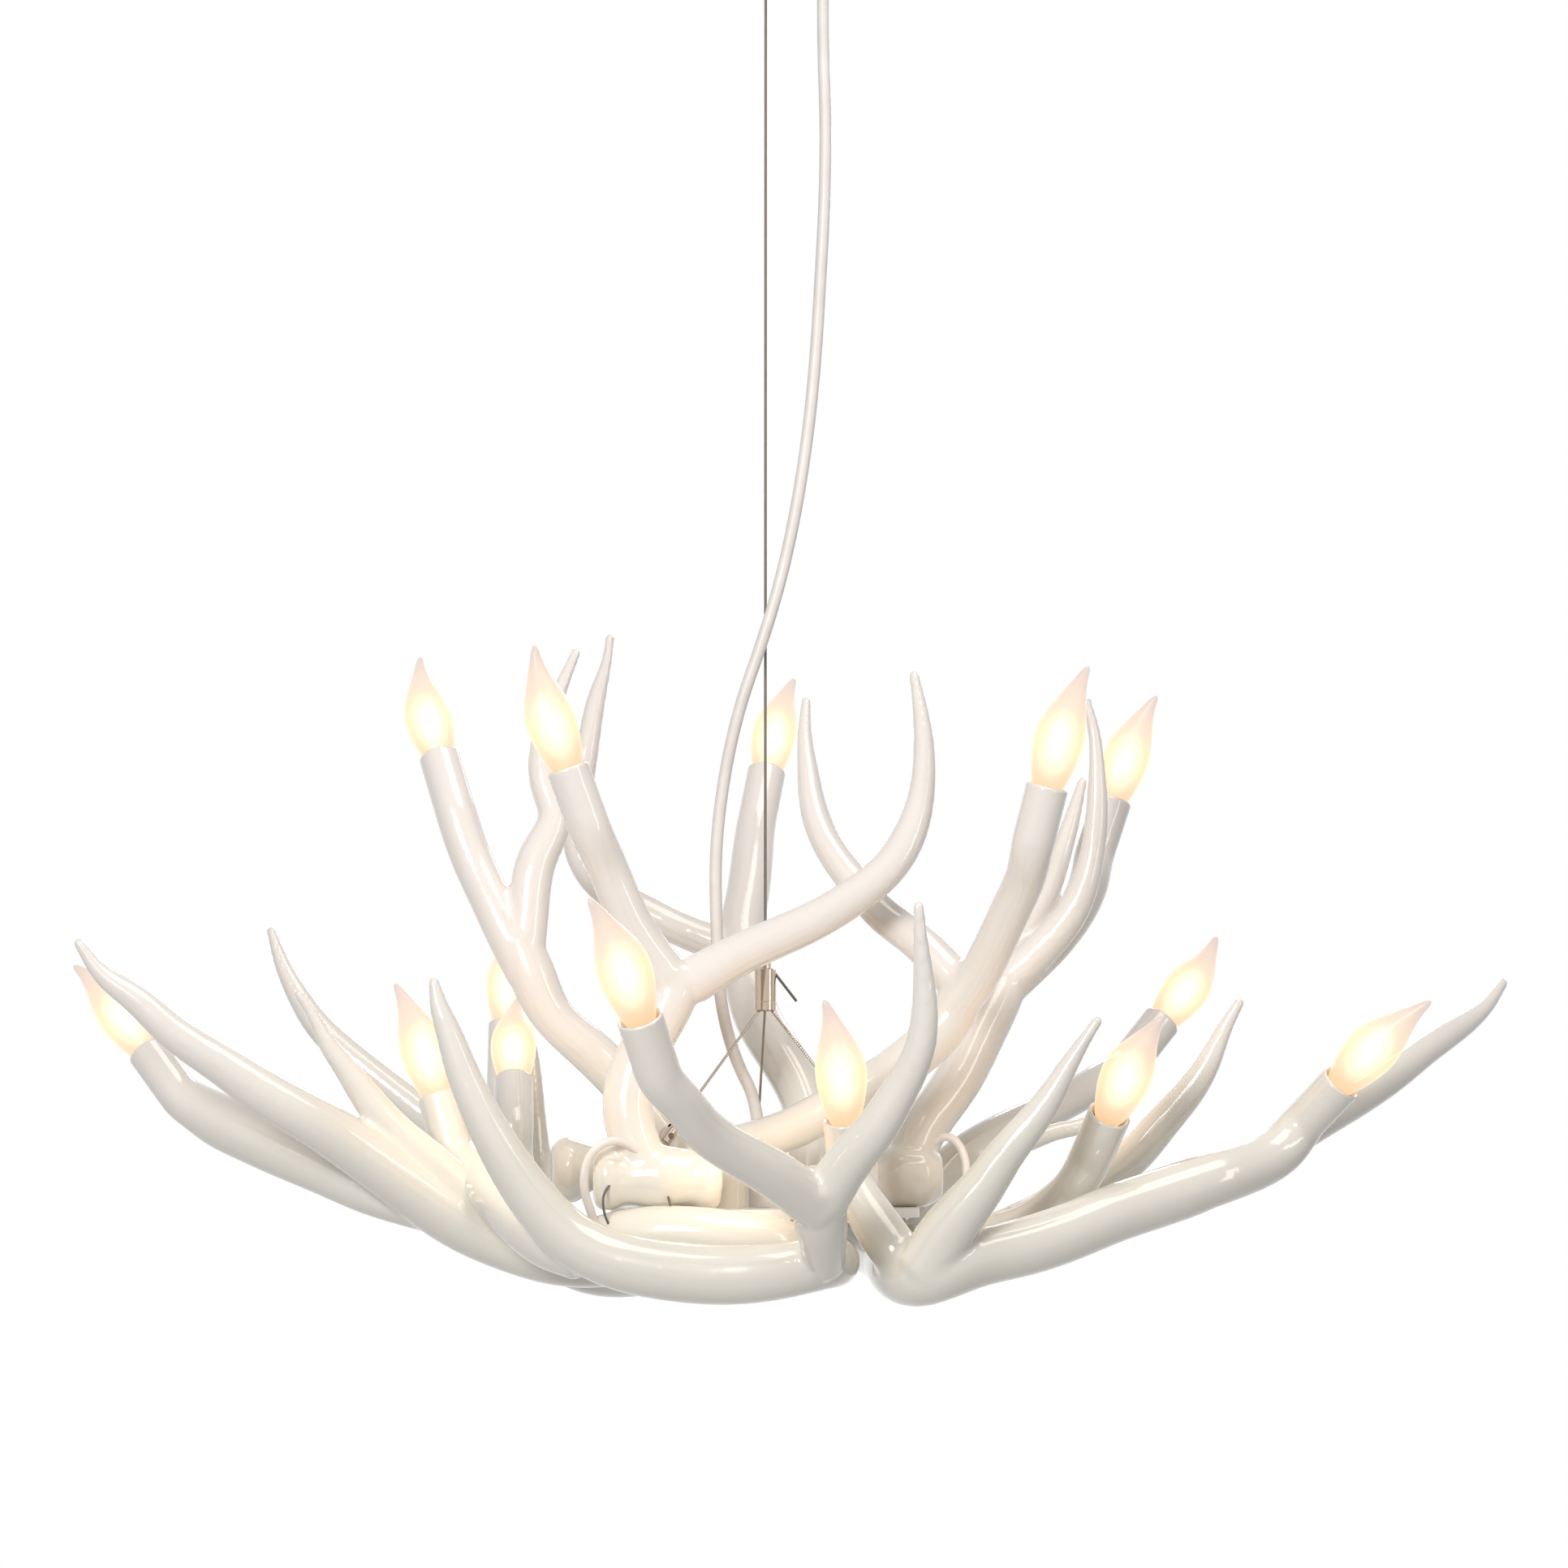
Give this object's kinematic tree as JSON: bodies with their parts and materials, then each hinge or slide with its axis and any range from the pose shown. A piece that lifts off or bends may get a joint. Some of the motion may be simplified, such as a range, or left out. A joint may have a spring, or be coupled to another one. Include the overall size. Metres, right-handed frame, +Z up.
{
  "type": "antler chandelier",
  "caption": "Two-tier chandelier of white glazed ceramic antlers with flame bulbs in their tine sockets, hung by a bridle and cable gripper from a ceiling canopy.",
  "frame": {"origin": "centre of the canopy's rim where it meets the ceiling, on the suspension cable's axis", "axes": "+Z up into the ceiling, -Y towards the viewer of the picture, +X to that viewer's right"},
  "size_m": [0.9494, 0.6779, 0.9396],
  "materials": {
    "glaze": "high gloss white glaze",
    "frosted_glass": "frosted, lit from inside",
    "lamp_brass": "plain",
    "dark_plastic": "matte",
    "hub_enamel": "gloss white enamel",
    "steel": "bright steel",
    "nickel": "satin nickel plate",
    "cord_white": "smooth white jacket",
    "dark_wire": "dark lashing wire",
    "canopy_enamel": "white enamel"
  },
  "bodies": {
    "ceiling_side": {"canopy_cover": "canopy_enamel", "ceiling_crossbar": "steel", "ceiling_screws": "steel", "cable_stop": "nickel", "cord_strain_relief": "cord_white", "main_cable": "steel", "power_cord": "cord_white"},
    "fixture": {"antler_upper_left": "glaze", "antler_upper_front": "glaze", "antler_upper_back": "glaze", "antler_upper_right": "glaze", "antler_upper_far_right": "glaze", "antler_lower_front": "glaze", "antler_lower_right": "glaze", "antler_lower_back_right": "glaze", "antler_lower_left": "glaze", "antler_lower_back_left": "glaze", "hub_spider": "hub_enamel", "antler_screws": "steel", "leg_pins": "steel", "bridle_leg_back": "nickel", "bridle_leg_left": "nickel", "bridle_leg_right": "nickel", "leg_collector": "nickel", "lamp_holders": "dark_plastic", "wiring_cup": "hub_enamel", "jumper_cords": "cord_white", "lashing_wires": "dark_wire"},
    "gripper": {"gripper_barrel": "nickel", "gripper_tail": "steel"},
    "sleeve": {"release_sleeve": "nickel"},
    "bulb_upper_left": {"bulb_glass_upper_left": "frosted_glass", "bulb_base_upper_left": "lamp_brass"},
    "bulb_upper_front": {"bulb_glass_upper_front": "frosted_glass", "bulb_base_upper_front": "lamp_brass"},
    "bulb_upper_back": {"bulb_glass_upper_back": "frosted_glass", "bulb_base_upper_back": "lamp_brass"},
    "bulb_upper_right": {"bulb_glass_upper_right": "frosted_glass", "bulb_base_upper_right": "lamp_brass"},
    "bulb_upper_far_right": {"bulb_glass_upper_far_right": "frosted_glass", "bulb_base_upper_far_right": "lamp_brass"},
    "bulb_lower_front_outer": {"bulb_glass_lower_front_outer": "frosted_glass", "bulb_base_lower_front_outer": "lamp_brass"},
    "bulb_lower_front_inner": {"bulb_glass_lower_front_inner": "frosted_glass", "bulb_base_lower_front_inner": "lamp_brass"},
    "bulb_lower_right_outer": {"bulb_glass_lower_right_outer": "frosted_glass", "bulb_base_lower_right_outer": "lamp_brass"},
    "bulb_lower_right_inner": {"bulb_glass_lower_right_inner": "frosted_glass", "bulb_base_lower_right_inner": "lamp_brass"},
    "bulb_lower_back_right_outer": {"bulb_glass_lower_back_right_outer": "frosted_glass", "bulb_base_lower_back_right_outer": "lamp_brass"},
    "bulb_lower_back_right_inner": {"bulb_glass_lower_back_right_inner": "frosted_glass", "bulb_base_lower_back_right_inner": "lamp_brass"},
    "bulb_lower_left": {"bulb_glass_lower_left": "frosted_glass", "bulb_base_lower_left": "lamp_brass"},
    "bulb_lower_back_left_outer": {"bulb_glass_lower_back_left_outer": "frosted_glass", "bulb_base_lower_back_left_outer": "lamp_brass"},
    "bulb_lower_back_left_inner": {"bulb_glass_lower_back_left_inner": "frosted_glass", "bulb_base_lower_back_left_inner": "lamp_brass"}
  },
  "joints": [
    {"name": "height_adjust", "type": "slide", "parent": "ceiling_side", "child": "fixture", "axis": [0, 0, 1], "range_m": [0, 0.1], "deforming": ["power_cord"]},
    {"name": "gripper_swivel", "type": "hinge", "parent": "fixture", "child": "gripper", "pos_m": [0, 0, -0.732], "axis": [0, 0, 1], "continuous": true},
    {"name": "sleeve_release", "type": "slide", "parent": "gripper", "child": "sleeve", "axis": [0, 0, -1], "range_m": [0, 0.002], "stiffness_N_per_m": 800, "springref_m": -0.003},
    {"name": "bulb_out_upper_left", "type": "slide", "parent": "fixture", "child": "bulb_upper_left", "axis": [-0.2808, 0.4212, 0.8624], "range_m": [0, 0.03]},
    {"name": "bulb_out_upper_front", "type": "slide", "parent": "fixture", "child": "bulb_upper_front", "axis": [-0.34, -0.1, 0.9351], "range_m": [0, 0.03]},
    {"name": "bulb_out_upper_back", "type": "slide", "parent": "fixture", "child": "bulb_upper_back", "axis": [0.1702, 0.4205, 0.8912], "range_m": [0, 0.03]},
    {"name": "bulb_out_upper_right", "type": "slide", "parent": "fixture", "child": "bulb_upper_right", "axis": [0.2398, -0.1499, 0.9592], "range_m": [0, 0.03]},
    {"name": "bulb_out_upper_far_right", "type": "slide", "parent": "fixture", "child": "bulb_upper_far_right", "axis": [0.3206, 0.1002, 0.9419], "range_m": [0, 0.03]},
    {"name": "bulb_out_lower_front_outer", "type": "slide", "parent": "fixture", "child": "bulb_lower_front_outer", "axis": [-0.2703, -0.4505, 0.8509], "range_m": [0, 0.03]},
    {"name": "bulb_out_lower_front_inner", "type": "slide", "parent": "fixture", "child": "bulb_lower_front_inner", "axis": [-0.2916, 0.2011, 0.9352], "range_m": [0, 0.03]},
    {"name": "bulb_out_lower_right_outer", "type": "slide", "parent": "fixture", "child": "bulb_lower_right_outer", "axis": [0.5726, -0.4822, 0.663], "range_m": [0, 0.03]},
    {"name": "bulb_out_lower_right_inner", "type": "slide", "parent": "fixture", "child": "bulb_lower_right_inner", "axis": [-0.0802, -0.4011, 0.9125], "range_m": [0, 0.03]},
    {"name": "bulb_out_lower_back_right_outer", "type": "slide", "parent": "fixture", "child": "bulb_lower_back_right_outer", "axis": [0.5997, 0.3498, 0.7197], "range_m": [0, 0.03]},
    {"name": "bulb_out_lower_back_right_inner", "type": "slide", "parent": "fixture", "child": "bulb_lower_back_right_inner", "axis": [0.292, -0.5739, 0.7651], "range_m": [0, 0.03]},
    {"name": "bulb_out_lower_left", "type": "slide", "parent": "fixture", "child": "bulb_lower_left", "axis": [-0.5898, 0.2999, 0.7498], "range_m": [0, 0.03]},
    {"name": "bulb_out_lower_back_left_outer", "type": "slide", "parent": "fixture", "child": "bulb_lower_back_left_outer", "axis": [0, 0.3011, 0.9536], "range_m": [0, 0.03]},
    {"name": "bulb_out_lower_back_left_inner", "type": "slide", "parent": "fixture", "child": "bulb_lower_back_left_inner", "axis": [-0.0501, 0.6215, 0.7818], "range_m": [0, 0.03]}
  ]
}
